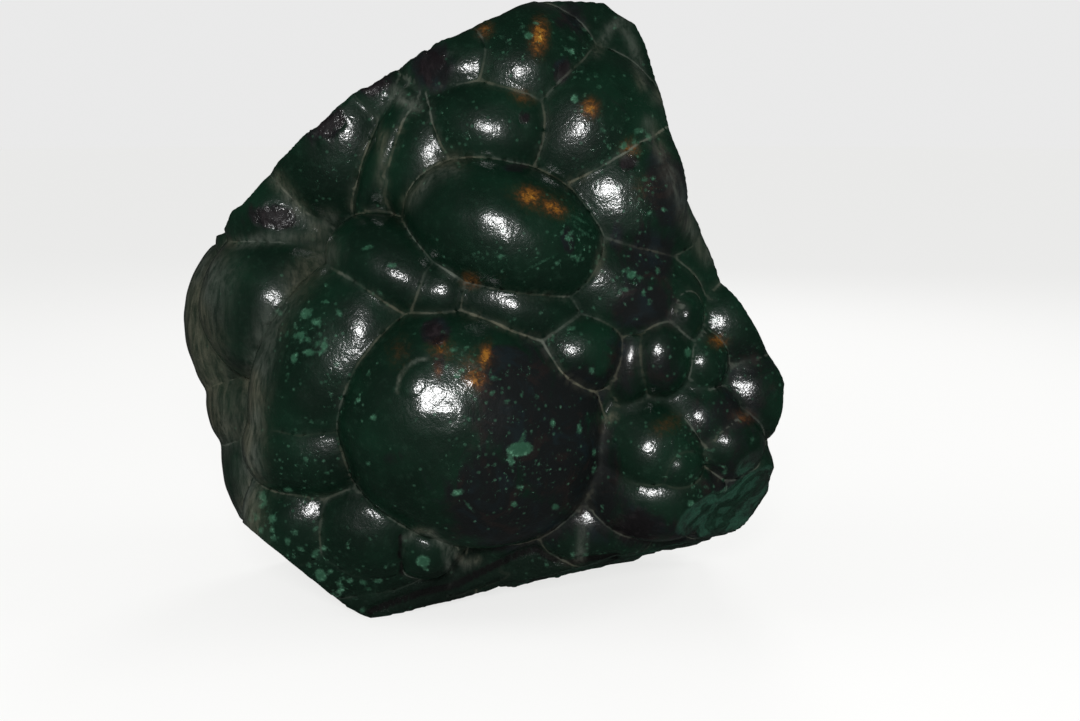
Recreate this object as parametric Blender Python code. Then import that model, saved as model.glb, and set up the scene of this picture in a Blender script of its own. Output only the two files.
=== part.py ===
"""Malachite specimen: one grown mass of rounded domes, broken along its rim, its foot and its back."""

import math

import bmesh
import bpy
import numpy as np
from mathutils import Euler

MM = 0.001  # the tables below are in millimetres

# Driving dimensions of the whole stone
STONE_SIZE = 1.0  # scale of everything, 1.0 makes it about 215 mm wide
BASE_HEIGHT = 0.0  # height of the flat broken foot it stands on
SIDEWAYS = 4.1  # shifts that centre the stone over the origin
BACKWARD = -13.4
HEART = (0.0, 45.0, 100.0)  # inner point from which every surface point is found
BALL_DIVISIONS = 7  # fineness of the starting ball
TRIANGLES = 9300  # triangles kept in the finished stone
GROOVE_STEEPNESS = 2.2  # rise over run, steeper grooves between domes are filled
GROOVE_PASSES = 12
FOOT_SNAP = 0.4  # corners lower than this are set level with the foot
CREASE_ANGLE = 34.0  # degrees, sharper edges than this stay crisp

# Grown domes of the face: centre x, y, z, half sizes across, deep, tall, roll, turn (degrees)
FACE_DOMES = (
    (-1, -26, 69.5, 51, 34, 43.5, -18, 24),  # big lower dome
    (8.5, -24, 134.5, 36, 28, 24, -22, 5),  # wide middle dome
    (-48, -21, 90, 28, 28, 44.5, -32, 5),  # long dome on the left
    (-75, 4, 107, 27, 30, 29, -15, 0),  # far left dome
    (-14, -26, 115, 19, 18, 15, -8, 0),
    (9, -27, 110.5, 28, 18, 16, -14, 0),
    (-28, -20, 120.5, 27, 24, 18, -28, 0),
    (3, -10, 168, 29, 24, 22, 0, 0),
    (-18, -11, 158, 19, 20, 25, -18, 0),
    (-31.5, -12, 161, 8, 15, 27, -24, 0),
    (-50, 7, 165, 30, 29, 36, 0, 0),
    (-37, -8, 182, 12, 12, 11, 0, 0),
    (-4, -8, 189, 25, 18, 16, 0, 0),
    (12.5, 0, 186, 30, 28, 27, 0, 0),
    (33, -1, 165, 33, 30, 33, -10, 0),
    (45, -2, 143.5, 36, 30, 33, -8, 0),
    (43, -9, 114, 40, 28, 26, -26, 8),
    (31, -26, 95, 19, 18, 16, -8, 0),
    (50, -25, 89, 9, 12, 17, -6, 0),
    (60, -24, 92.5, 12.5, 14, 15, 0, 0),
    (69, -24, 106, 7, 9, 9, 0, 0),
    (75, -19, 89, 10, 12, 12, 0, 0),
    (85, -4, 99, 20, 18, 20, 0, 0),
    (58.5, -22, 60, 20, 21, 18, 0, 0),
    (75, -21, 69.5, 15, 14, 14, 0, 0),
    (94, -6, 76, 18, 18, 18, 0, 0),
    (84, -21, 61, 14, 15, 13, 0, 0),
    (66, -31, 56, 10, 12, 10, 0, 0),
    (60, -20, 44, 27, 22, 18, 0, 0),
    (37, -11, 32, 26, 22, 18, 0, 0),
    (-55, -22, 63, 29, 25, 22, 12, 0),
    (-45, -18, 28, 42, 22, 24, 6, 0),
    (-42, -2, 14, 46, 30, 36, 0, 0),
    (-20, -31, 28, 13, 12, 13, 0, 0),
    (-73, 3, 137.5, 20, 18, 19, 0, 0),
    (-56, 7, 138, 20, 18, 14, 0, 0),
    (48, -14, 74, 16, 18, 16, 0, 0),
    (82, -6, 44, 24, 24, 22, 0, 0),
    (98, 6, 52, 14, 18, 20, 0, 0),
    (-27, -9, 178, 7, 10, 11, -20, 0),
    (-61, -20, 35, 24, 22, 22, 0, 0),
    (-39, -23, 34, 27, 22, 22, 0, 0),
    (-2, -14.5, 12, 37, 9.5, 4.4, 17.5, 9),  # slab under the big lower dome
    (28, -12, 14.5, 18, 7, 3, 12, 0),
)

# Smaller domes that carry on round the left side
SIDE_DOMES = (
    (-85, 14, 127, 13, 14, 13, 0, 0),
    (-87, 26, 96, 26, 30, 36, 0, 0),
    (-81, 22, 68, 24, 28, 26, 0, 0),
    (-72, 24, 46, 28, 34, 44, 6, 0),
    (-83, 56, 112, 20, 22, 24, 0, 0),
    (-84, 58, 72, 20, 24, 26, 0, 0),
    (-62, 58, 30, 26, 22, 28, 0, 0),
    (-70, 48, 142, 19, 22, 19, 0, 0),
)

# Solid stone behind the domes: a shallow bowl opening backwards
BOWL_TIP = (22.0, -35.0, 88.0)
BOWL_WIDTH_BEND = 0.0055
BOWL_HEIGHT_BEND = 0.0022

# Broken rim seen from the front: x and z of its corners, clockwise from the left
RIM = (
    (-124, 92), (-118, 124), (-95, 132), (-88, 141), (-84, 143), (-71, 157), (-62, 165),
    (-46, 178), (-27, 191), (-9, 199), (6, 207), (20, 214), (35, 214), (50, 212), (56, 200),
    (60, 185), (64, 169), (69, 145), (83, 116), (93, 103), (104, 82), (101, 61), (103, 40),
    (93, 24), (84, -10), (20, -60), (-60, -60), (-120, -20), (-122, 30),
)
RIM_CENTRE = (0.0, 100.0)
RIM_DEPTH = -15.0  # depth at which the rim has exactly that outline
RIM_TAPER = 0.0007  # narrowing per millimetre towards the back
RIM_ROUGHNESS = 0.7  # height of the uneven break along the rim

# Flat breaks: outward direction and distance from the origin
BREAKS = (
    ((0.24, -0.34, -0.91), 1.0),  # undercut along the lower right
    ((-0.62, -0.31, -0.72), 36.0),  # undercut along the lower left
    ((0.60, -0.645, -0.47), 48.0),  # broken corner at the lower right
    ((0.08, 0.98, 0.17), 92.0),  # back
    ((-0.46, 0.85, 0.24), 99.0),  # back, left of the middle
    ((0.52, 0.84, 0.14), 103.0),  # back, right of the middle
    ((0.12, 0.62, 0.775), 188.0),  # back, top slope
    ((-0.34, 0.52, 0.78), 179.0),
    ((0.10, 0.66, -0.745), 33.0),  # back, foot slope
    ((-0.60, 0.70, -0.39), 74.0),  # back, low left corner
)
SCOOP_SEED = 27
SCOOPS_PER_BREAK = 16  # shallow shell-shaped scoops on every break
SCOOPS_ON_RIM = 44
SCOOP_SPREAD = 0.45  # how far the scoops scatter round the middle of a break
SCOOP_RADIUS = (22.0, 60.0)
SCOOP_DEPTH = (0.8, 3.2)
LEDGE_SPACING = 17.0  # growth layers that stand out as ledges on the breaks
LEDGE_HEIGHT = 2.0
LEDGE_START = 7.0  # ledges begin at this depth below the grown domes
LEDGE_REACH = 62.0  # and fade out deeper than this inside the mass
LEDGE_FADE = 15.0
LEDGE_TREAD = 0.8  # share of a ledge that slopes in, the rest steps out again
LEDGE_SHIFT = 0.35
FAR_AWAY = 1e6  # a line that never meets a surface

# Chips knocked out of the rim and the back: centre x, y, z and radius
CHIPS = (
    (78, 18, 196, 26),
    (-62, 44, 196, 24),
    (104, 52, 128, 25),
    (30, 112, 150, 34),
    (-38, 120, 78, 38),
    (62, 112, 48, 34),
    (-8, 60, 226, 26),
    (116, 62, 22, 24),
)

STONE_COLOUR = (0.012, 0.060, 0.034, 1.0)
STONE_ROUGHNESS = 0.24


def clear_scene():
    for old in list(bpy.data.objects):
        bpy.data.objects.remove(old, do_unlink=True)


def unit_ball(divisions):
    """Unit directions and triangles of a finely divided ball."""
    bm = bmesh.new()
    bmesh.ops.create_icosphere(bm, subdivisions=divisions, radius=1.0)
    bm.verts.ensure_lookup_table()
    directions = np.array([v.co[:] for v in bm.verts], dtype=float)
    triangles = [[v.index for v in f.verts] for f in bm.faces]
    bm.free()
    directions /= np.linalg.norm(directions, axis=1)[:, None]
    return directions, triangles


def dome_reach(directions, dome):
    """Distance from the heart to the far side of one dome, or -1 where the line misses it."""
    centre = np.array(dome[0:3], dtype=float)
    turning = Euler((0.0, -math.radians(dome[6]), math.radians(dome[7])), "XYZ")
    to_ball = np.diag(1.0 / np.array(dome[3:6], dtype=float)) @ np.array(turning.to_matrix()).T
    start = to_ball @ (np.array(HEART) - centre)
    step = directions @ to_ball.T
    a = (step * step).sum(axis=1)
    b = step @ start
    inside_root = b * b - a * (start @ start - 1.0)
    root = np.sqrt(np.maximum(inside_root, 0.0))
    return np.where(inside_root > 0.0, (root - b) / a, -1.0)


def bowl_reach(directions):
    """Distance to the curved front of the solid stone behind the domes."""
    off = np.array(HEART) - np.array(BOWL_TIP)
    a = BOWL_WIDTH_BEND * directions[:, 0] ** 2 + BOWL_HEIGHT_BEND * directions[:, 2] ** 2
    b = directions[:, 1] - 2.0 * BOWL_WIDTH_BEND * off[0] * directions[:, 0]
    b = b - 2.0 * BOWL_HEIGHT_BEND * off[2] * directions[:, 2]
    c = off[1] - BOWL_WIDTH_BEND * off[0] ** 2 - BOWL_HEIGHT_BEND * off[2] ** 2
    a = np.maximum(a, 1e-5)
    return (b + np.sqrt(b * b + 4.0 * a * c)) / (2.0 * a)


def rim_reach(directions):
    """Distance to the broken side wall that follows the rim."""
    corners = np.array(RIM, dtype=float) - np.array(RIM_CENTRE)
    angles = np.arctan2(corners[:, 1], corners[:, 0])
    sizes = np.hypot(corners[:, 0], corners[:, 1])
    order = np.argsort(angles)
    facing = np.arctan2(directions[:, 2], directions[:, 0])
    size = np.interp(facing, angles[order], sizes[order], period=2.0 * math.pi)
    across = np.hypot(directions[:, 0], directions[:, 2])
    wide = size * (1.0 - RIM_TAPER * (HEART[1] - RIM_DEPTH))
    slope = across + size * RIM_TAPER * directions[:, 1]
    return np.where(slope > 1e-6, wide / np.maximum(slope, 1e-6), FAR_AWAY)


def plane_reach(directions, outward, distance):
    outward = np.array(outward) / np.linalg.norm(outward)
    towards = directions @ outward
    room = distance - np.array(HEART) @ outward
    return np.where(towards > 1e-6, room / np.maximum(towards, 1e-6), FAR_AWAY)


def chip_reach(directions, chip):
    """Distance at which a line runs into the hollow left by a chip."""
    off = np.array(HEART) - np.array(chip[0:3], dtype=float)
    b = directions @ off
    inside_root = b * b - (off @ off - chip[3] ** 2)
    near = -b - np.sqrt(np.maximum(inside_root, 0.0))
    return np.where((inside_root > 0.0) & (near > 0.0), near, FAR_AWAY)


def scoops():
    """Centres and radii of the shallow scoops that roughen the rim and the breaks."""
    rng = np.random.default_rng(SCOOP_SEED)
    heart = np.array(HEART)
    found = []
    for outward, distance in BREAKS:
        outward = np.array(outward) / np.linalg.norm(outward)
        for _ in range(SCOOPS_PER_BREAK):
            towards = outward + rng.normal(size=3) * SCOOP_SPREAD
            towards = towards / np.linalg.norm(towards)
            radius = rng.uniform(*SCOOP_RADIUS)
            depth = rng.uniform(*SCOOP_DEPTH)
            spot = heart + towards * plane_reach(towards[None, :], outward, distance)[0]
            found.append((*(spot + outward * (radius - depth)), radius))
    for _ in range(SCOOPS_ON_RIM):
        around = rng.uniform(-0.2, 0.95) * math.pi
        towards = np.array((math.cos(around), rng.uniform(-0.35, 0.45), math.sin(around)))
        towards = towards / np.linalg.norm(towards)
        radius = rng.uniform(*SCOOP_RADIUS)
        depth = rng.uniform(*SCOOP_DEPTH)
        spot = heart + towards * rim_reach(towards[None, :])[0]
        outward = np.array((math.cos(around), 0.1, math.sin(around)))
        found.append((*(spot + outward * (radius - depth)), radius))
    return found


def ripple(points, scale, seed):
    """Smooth uneven values between about -1 and 1."""
    rng = np.random.default_rng(seed)
    total = np.zeros(len(points))
    for _ in range(9):
        wave = rng.normal(size=3)
        wave = wave / np.linalg.norm(wave) * rng.uniform(0.7, 1.6) / scale
        total += np.sin(points @ wave * 2.0 * math.pi + rng.uniform(0.0, 2.0 * math.pi))
    return total / 3.2


def stone_reach(directions):
    """Distance from the heart to the surface of the stone in every direction."""
    grown = bowl_reach(directions)
    for dome in FACE_DOMES + SIDE_DOMES:
        grown = np.maximum(grown, dome_reach(directions, dome))
    heart = np.array(HEART)

    rim = rim_reach(directions)
    rough = heart + directions * np.minimum(rim, 400.0)[:, None]
    rim = rim + RIM_ROUGHNESS * (ripple(rough, 34.0, 3) + 0.5 * ripple(rough, 13.0, 4))
    broken = rim
    for outward, distance in BREAKS:
        broken = np.minimum(broken, plane_reach(directions, outward, distance))
    for chip in list(CHIPS) + scoops():
        broken = np.minimum(broken, chip_reach(directions, chip))

    depth = np.clip(grown - broken, 0.0, None)
    layer = np.mod(depth / LEDGE_SPACING + LEDGE_SHIFT, 1.0)
    step = np.minimum(layer / LEDGE_TREAD, (1.0 - layer) / (1.0 - LEDGE_TREAD))
    begun = np.clip(depth / LEDGE_START - 1.0, 0.0, 1.0)
    fading = np.clip((LEDGE_REACH - depth) / LEDGE_FADE, 0.0, 1.0)
    broken = broken - LEDGE_HEIGHT * begun * fading * step
    foot = plane_reach(directions, (0.0, 0.0, -1.0), -BASE_HEIGHT)
    return np.minimum(np.minimum(grown, broken), foot)


def fill_grooves(directions, triangles, reach):
    """Raises the bottoms of narrow grooves until no wall is too steep."""
    corners = np.array(triangles)
    first = np.concatenate((corners[:, 0], corners[:, 1], corners[:, 2]))
    second = np.concatenate((corners[:, 1], corners[:, 2], corners[:, 0]))
    gap = np.linalg.norm(directions[first] - directions[second], axis=1)
    for _ in range(GROOVE_PASSES):
        np.maximum.at(reach, second, reach[first] * (1.0 - GROOVE_STEEPNESS * gap))
    return reach


def stone_material():
    material = bpy.data.materials.new("polished_malachite")
    material.use_nodes = True
    shader = material.node_tree.nodes["Principled BSDF"]
    shader.inputs["Base Color"].default_value = STONE_COLOUR
    shader.inputs["Roughness"].default_value = STONE_ROUGHNESS
    shader.inputs["IOR"].default_value = 1.7
    return material


def build_stone(collection):
    directions, triangles = unit_ball(BALL_DIVISIONS)
    reach = fill_grooves(directions, triangles, stone_reach(directions))
    points = np.array(HEART) + directions * reach[:, None]
    points = (points + np.array((SIDEWAYS, BACKWARD, 0.0))) * MM * STONE_SIZE
    mesh = bpy.data.meshes.new("malachite_stone")
    mesh.from_pydata(points.tolist(), [], triangles)
    mesh.update()
    stone = bpy.data.objects.new("malachite_stone", mesh)
    collection.objects.link(stone)

    fewer = stone.modifiers.new("fewer_facets", "DECIMATE")
    fewer.ratio = TRIANGLES / len(triangles)
    fewer.use_collapse_triangulate = True
    evaluated = stone.evaluated_get(bpy.context.evaluated_depsgraph_get())
    lighter = bpy.data.meshes.new_from_object(evaluated)
    stone.modifiers.clear()
    stone.data = lighter
    bpy.data.meshes.remove(mesh)
    lighter.name = "malachite_stone"
    for vertex in lighter.vertices:
        if vertex.co.z < (BASE_HEIGHT + FOOT_SNAP) * MM * STONE_SIZE:
            vertex.co.z = BASE_HEIGHT * MM * STONE_SIZE

    lighter.materials.clear()
    lighter.materials.append(stone_material())
    lighter.shade_smooth()
    lighter.set_sharp_from_angle(angle=math.radians(CREASE_ANGLE))
    return stone


def main():
    clear_scene()
    collection = bpy.data.collections.new("malachite_specimen")
    bpy.context.scene.collection.children.link(collection)
    build_stone(collection)


main()
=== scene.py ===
"""Malachite specimen: polished green domes, broken along the rim, foot and back, on a pale floor."""

import math

import bmesh
import bpy
import numpy as np
from bpy.props import FloatProperty, FloatVectorProperty, PointerProperty
from bpy.types import Operator, Panel, PropertyGroup
from mathutils import Euler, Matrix, Vector, kdtree, noise


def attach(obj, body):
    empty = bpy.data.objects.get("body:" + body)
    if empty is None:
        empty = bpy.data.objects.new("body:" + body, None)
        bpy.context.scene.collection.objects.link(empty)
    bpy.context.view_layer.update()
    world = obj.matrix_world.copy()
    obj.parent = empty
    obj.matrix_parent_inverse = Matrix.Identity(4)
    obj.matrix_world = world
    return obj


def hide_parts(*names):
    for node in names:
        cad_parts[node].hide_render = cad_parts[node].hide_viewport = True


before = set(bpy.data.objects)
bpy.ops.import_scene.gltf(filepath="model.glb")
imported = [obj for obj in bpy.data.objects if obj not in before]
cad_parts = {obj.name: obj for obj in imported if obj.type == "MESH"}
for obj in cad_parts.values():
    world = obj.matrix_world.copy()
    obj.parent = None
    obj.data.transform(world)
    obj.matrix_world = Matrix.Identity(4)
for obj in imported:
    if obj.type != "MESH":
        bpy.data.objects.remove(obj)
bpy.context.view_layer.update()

bl_info = {
    "name": "Malachite specimen",
    "version": (1, 0, 0),
    "blender": (4, 5, 0),
    "location": "View3D > Sidebar > Malachite",
    "description": "Grows a polished malachite specimen of rounded domes and sets a studio round it",
    "category": "Add Mesh",
}

MM = 0.001  # the tables of shapes and markings are in millimetres
TINY = 1e-6

# Whole stone, in the same measures as its solid
SIDEWAYS = 4.1
BACKWARD = -13.4
HEART = np.array((0.0, 45.0, 100.0))  # inner point from which every surface point is found
BALL_DIVISIONS = 7
FINE_FRONT = -0.2  # faces whose direction leans further forward than this are divided once more
FACE_FRONT = 0.1  # points whose direction leans further back than this carry no markings
GROOVE_STEEPNESS = 2.2
GROOVE_PASSES = 24
FILLED = 0.05  # a point raised more than this belongs to the wall of a filled groove
SMOOTHING_PASSES = 6
FOOT_SNAP = 0.4
FAR_AWAY = 1e6
FARTHEST = 400.0  # roughness is worked out no further from the heart than this

# Grown domes of the face: centre x, y, z, half sizes across, deep, tall, roll, turn (degrees)
FACE_DOMES = (
    (-1, -26, 69.5, 51, 34, 43.5, -18, 24),  # big lower dome
    (8.5, -24, 134.5, 36, 28, 24, -22, 5),  # wide middle dome
    (-48, -21, 90, 28, 28, 44.5, -32, 5),  # long dome on the left
    (-75, 4, 107, 27, 30, 29, -15, 0),  # far left dome
    (-14, -26, 115, 19, 18, 15, -8, 0),
    (9, -27, 110.5, 28, 18, 16, -14, 0),
    (-28, -20, 120.5, 27, 24, 18, -28, 0),
    (3, -10, 168, 29, 24, 22, 0, 0),
    (-18, -11, 158, 19, 20, 25, -18, 0),
    (-31.5, -12, 161, 8, 15, 27, -24, 0),
    (-50, 7, 165, 30, 29, 36, 0, 0),
    (-37, -8, 182, 12, 12, 11, 0, 0),
    (-4, -8, 189, 25, 18, 16, 0, 0),
    (12.5, 0, 186, 30, 28, 27, 0, 0),
    (33, -1, 165, 33, 30, 33, -10, 0),
    (45, -2, 143.5, 36, 30, 33, -8, 0),
    (43, -9, 114, 40, 28, 26, -26, 8),
    (31, -26, 95, 19, 18, 16, -8, 0),
    (50, -25, 89, 9, 12, 17, -6, 0),
    (60, -24, 92.5, 12.5, 14, 15, 0, 0),
    (69, -24, 106, 7, 9, 9, 0, 0),
    (75, -19, 89, 10, 12, 12, 0, 0),
    (85, -4, 99, 20, 18, 20, 0, 0),
    (58.5, -22, 60, 20, 21, 18, 0, 0),
    (75, -21, 69.5, 15, 14, 14, 0, 0),
    (94, -6, 76, 18, 18, 18, 0, 0),
    (84, -21, 61, 14, 15, 13, 0, 0),
    (66, -31, 56, 10, 12, 10, 0, 0),
    (60, -20, 44, 27, 22, 18, 0, 0),
    (37, -11, 32, 26, 22, 18, 0, 0),
    (-55, -22, 63, 29, 25, 22, 12, 0),
    (-45, -18, 28, 42, 22, 24, 6, 0),
    (-42, -2, 14, 46, 30, 36, 0, 0),
    (-20, -31, 28, 13, 12, 13, 0, 0),
    (-73, 3, 137.5, 20, 18, 19, 0, 0),
    (-56, 7, 138, 20, 18, 14, 0, 0),
    (48, -14, 74, 16, 18, 16, 0, 0),
    (82, -6, 44, 24, 24, 22, 0, 0),
    (98, 6, 52, 14, 18, 20, 0, 0),
    (-27, -9, 178, 7, 10, 11, -20, 0),
    (-61, -20, 35, 24, 22, 22, 0, 0),
    (-39, -23, 34, 27, 22, 22, 0, 0),
    (-2, -14.5, 12, 37, 9.5, 4.4, 17.5, 9),  # slab under the big lower dome
    (28, -12, 14.5, 18, 7, 3, 12, 0),
)

# Smaller domes that carry on round the left side
SIDE_DOMES = (
    (-85, 14, 127, 13, 14, 13, 0, 0),
    (-87, 26, 96, 26, 30, 36, 0, 0),
    (-81, 22, 68, 24, 28, 26, 0, 0),
    (-72, 24, 46, 28, 34, 44, 6, 0),
    (-83, 56, 112, 20, 22, 24, 0, 0),
    (-84, 58, 72, 20, 24, 26, 0, 0),
    (-62, 58, 30, 26, 22, 28, 0, 0),
    (-70, 48, 142, 19, 22, 19, 0, 0),
)
DOMES = FACE_DOMES + SIDE_DOMES

# Solid stone behind the domes: a shallow bowl opening backwards
BOWL_TIP = (22.0, -35.0, 88.0)
BOWL_WIDTH_BEND = 0.0055
BOWL_HEIGHT_BEND = 0.0022
BOWL_FLATTEST = 1e-5

# Broken rim seen from the front: x and z of its corners, clockwise from the left
RIM = (
    (-124, 92), (-118, 124), (-95, 132), (-88, 141), (-84, 143), (-71, 157), (-62, 165),
    (-46, 178), (-27, 191), (-9, 199), (6, 207), (20, 214), (35, 214), (50, 212), (56, 200),
    (60, 185), (64, 169), (69, 145), (83, 116), (93, 103), (104, 82), (101, 61), (103, 40),
    (93, 24), (84, -10), (20, -60), (-60, -60), (-120, -20), (-122, 30),
)
RIM_CENTRE = (0.0, 100.0)
RIM_DEPTH = -15.0
RIM_TAPER = 0.0007
RIM_ROUGHNESS = 0.7

# Flat breaks: outward direction and distance from the origin
BREAKS = (
    ((0.24, -0.34, -0.91), 1.0),  # undercut along the lower right
    ((-0.62, -0.31, -0.72), 36.0),  # undercut along the lower left
    ((0.60, -0.645, -0.47), 48.0),  # broken corner at the lower right
    ((0.08, 0.98, 0.17), 92.0),  # back
    ((-0.46, 0.85, 0.24), 99.0),
    ((0.52, 0.84, 0.14), 103.0),
    ((0.12, 0.62, 0.775), 188.0),
    ((-0.34, 0.52, 0.78), 179.0),
    ((0.10, 0.66, -0.745), 33.0),
    ((-0.60, 0.70, -0.39), 74.0),
)
SCOOP_SEED = 27
SCOOPS_PER_BREAK = 16
SCOOPS_ON_RIM = 44
SCOOP_SPREAD = 0.45
SCOOP_RADIUS = (22.0, 60.0)
SCOOP_DEPTH = (0.8, 3.2)
LEDGE_SPACING = 17.0
LEDGE_HEIGHT = 2.0
LEDGE_START = 7.0
LEDGE_REACH = 62.0
LEDGE_FADE = 15.0
LEDGE_TREAD = 0.8
LEDGE_SHIFT = 0.35
SCOOP_ARC = (-0.2, 0.95)  # where they lie round the rim, in half turns
SCOOP_TILT = (-0.35, 0.45)
SCOOP_LEAN = 0.1

# Chips knocked out of the rim and the back: centre x, y, z and radius
CHIPS = (
    (78, 18, 196, 26),
    (-62, 44, 196, 24),
    (104, 52, 128, 25),
    (30, 112, 150, 34),
    (-38, 120, 78, 38),
    (62, 112, 48, 34),
    (-8, 60, 226, 26),
    (116, 62, 22, 24),
)

# Small unevenness: wave length, height and seed of each wave
DOME_RIPPLES = ((26.0, 1.0, 50), (11.0, 0.4, 150))
RIM_RIPPLES = ((34.0, 1.0, 3), (13.0, 0.5, 4))
PIT_RIPPLES = ((4.0, 0.28, 7),)
RIPPLE_WAVES = 9
RIPPLE_RANGE = (0.7, 1.6)
RIPPLE_LEVEL = 3.2

# Facets of broken stone: size, height and shift of each set
BREAK_FACETS = ((13.0, 1.0, 1), (4.5, 0.4, 2))
PIT_FACETS = (4.0, 5)  # size and shift alone
FACET_SEED = 5
FACET_SHIFT = (7.3, 3.1, 5.7)
FACET_BEND_RATE = 0.7
FACET_BEND = 0.5
FACET_MARGIN = 2.0  # facets carry on this far past the edge of a break
FACET_REACH = 300.0
FACET_DEPTH = 2.5  # depth of a break at which its facets have their full height
FACET_LEAST = 0.25

# Seams: how the mesh is drawn onto them, and how far from them a point still counts as near
SEAM_STEP = 0.002
SEAM_SIDE = (0.31, 0.17, 0.93)
SEAM_SHARES = (0.55, 0.35)
SEAM_STEEPNESS = (8.0, 900.0)
SEAM_REACH = 12.0
SEAM_FULL_RISE = 0.5  # a groove whose walls rise this steeply is marked in full

# Markings are laid out on an upright sheet in front of the face, seen from one spot before the stone
SIGHT_POINT = np.array((19.8, -532.0, 177.3))
SHEET_DEPTH = -40.0
SIGHT_EDGE = 0.02  # markings fade where the surface turns away from the sight point
SIGHT_FADE = 0.2

# Shallow pits with a dark, gritty floor: x, z, half width, half height, turn (degrees), depth
PITS = (
    (-49, 171, 5.5, 4.0, 35, 1.1), (-34, 185, 5.0, 4.0, 25, 1.0), (-15, 189.5, 4.8, 6.2, -10, 1.2),
    (-67, 141, 7.0, 3.6, 0, 0.9), (27, 188, 2.0, 3.4, -12, 0.5), (48.6, 159, 3.2, 2.6, 20, 0.6),
    (-14.9, 102.5, 4.4, 3.6, -30, 0.9), (53, 36, 8.0, 6.0, 15, 0.7), (62, 183, 3.0, 4.0, 0, 0.7),
    (15, 173, 1.8, 2.0, 0, 0.4),
)
PIT_REACH = 1.6
PIT_EDGE = 1.25
PIT_SLOPE = 0.6
PIT_GRIT = 0.12

# Low blisters on the polished face: x, z, half width, half height, turn, height
BLISTERS = (
    (-22.6, 86.6, 5.4, 6.4, -20, 0.85), (-12.8, 75.5, 5.0, 4.4, 30, 0.30),
    (-2.2, 87.0, 2.6, 2.8, 0, 0.35),
)

# Dull, unpolished areas, their colour also darkened as painted shade, mostly under the big lower dome: x,
# z, half width, half height, turn, strength
DULL_SHADED_PATCHES = (
    (-8, 15, 36, 9, 18, 1.1), (-3, 23, 10, 6, 10, 1.2), (30, 19, 22, 6, 14, 1.0), (54, 36, 9, 6, 10, 0.5),
    (-92, 90, 9, 40, 0, 0.6),
)

# Rust-brown and ochre stains: x, z, half width, half height, turn, strength
OCHRE_STAINS = (
    (19.6, 198.6, 2.7, 5.4, -6, 1.0), (36, 176, 2.7, 3.0, 0, 0.95), (14, 180, 4.4, 2.8, -20, 0.45),
    (16.5, 147.6, 4.6, 3.1, -15, 0.86), (24, 144, 4.8, 2.9, -25, 0.76), (20, 146, 10.0, 4.6, -18, 0.40),
    (49, 163, 3.4, 3.4, 0, 0.6), (-3, 120, 3.4, 2.8, -25, 0.6), (2, 201, 3.2, 3.0, 0, 0.5),
    (1.6, 94.5, 2.1, 4.2, -8, 0.95), (-2.1, 87, 4.0, 3.8, 0, 0.85), (-2, 91, 8.0, 6.0, 30, 0.38),
    (-12.9, 97, 4.6, 4.0, -30, 0.5), (-14.2, 90, 1.8, 3.6, 0, 0.5), (79, 100, 3.4, 2.6, 0, 0.68),
    (88, 74, 3.8, 2.8, 0, 0.45), (62, 71, 7.0, 3.6, 30, 0.34), (-27, 96, 5.0, 7.0, 0, 0.24),
    (54, 150, 6.0, 6.0, 0, 0.24),
)

# Black to brown-black mineral: x, z, half width, half height, turn, strength
BLACK_PATCHES = (
    (15, 74, 18, 24, 0, 0.85), (28, 58, 15, 21, 10, 0.85), (4, 52, 13, 18, 0, 0.7),
    (10, 94, 8, 4.5, -12, 0.85), (61, 150, 7, 16, 12, 0.75), (56, 128, 9, 12, 0, 0.7),
    (54, 112, 12, 9, 0, 0.8), (48, 92, 7, 12, 0, 0.6), (12, 157, 4, 1.4, 0, 0.8),
    (29, 133, 2.2, 5, 8, 0.8), (54, 36, 9, 7, 0, 0.8), (82, 74, 14, 12, 0, 0.5), (60, 90, 9, 9, 0, 0.5),
    (45, 136, 4, 8, 0, 0.5), (30, 205, 5, 6, 0, 0.6), (-14.9, 102.5, 5, 4.4, -30, 1.0),
    (-67, 141, 8, 4, 0, 0.9), (-49, 171, 7, 5, 35, 0.85), (-34, 185, 7, 5, 25, 0.85),
    (-15, 189.5, 6.5, 8, 0, 0.85), (90, 88, 10, 14, 0, 0.5), (84, 50, 12, 9, 0, 0.6),
    (-14, 92, 2.4, 5, 0, 0.5), (27, 188, 2.6, 4.2, -12, 0.9), (-30, 60, 5, 3, 0, 0.3),
    (70, 35, 12, 5, 30, 0.6), (12, 38, 22, 10, 0, 0.9), (38, 52, 10, 22, 8, 0.85),
    (-3, 44, 8, 13, 0, 0.8), (31, 82, 12, 9, 0, 0.85),
)

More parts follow.
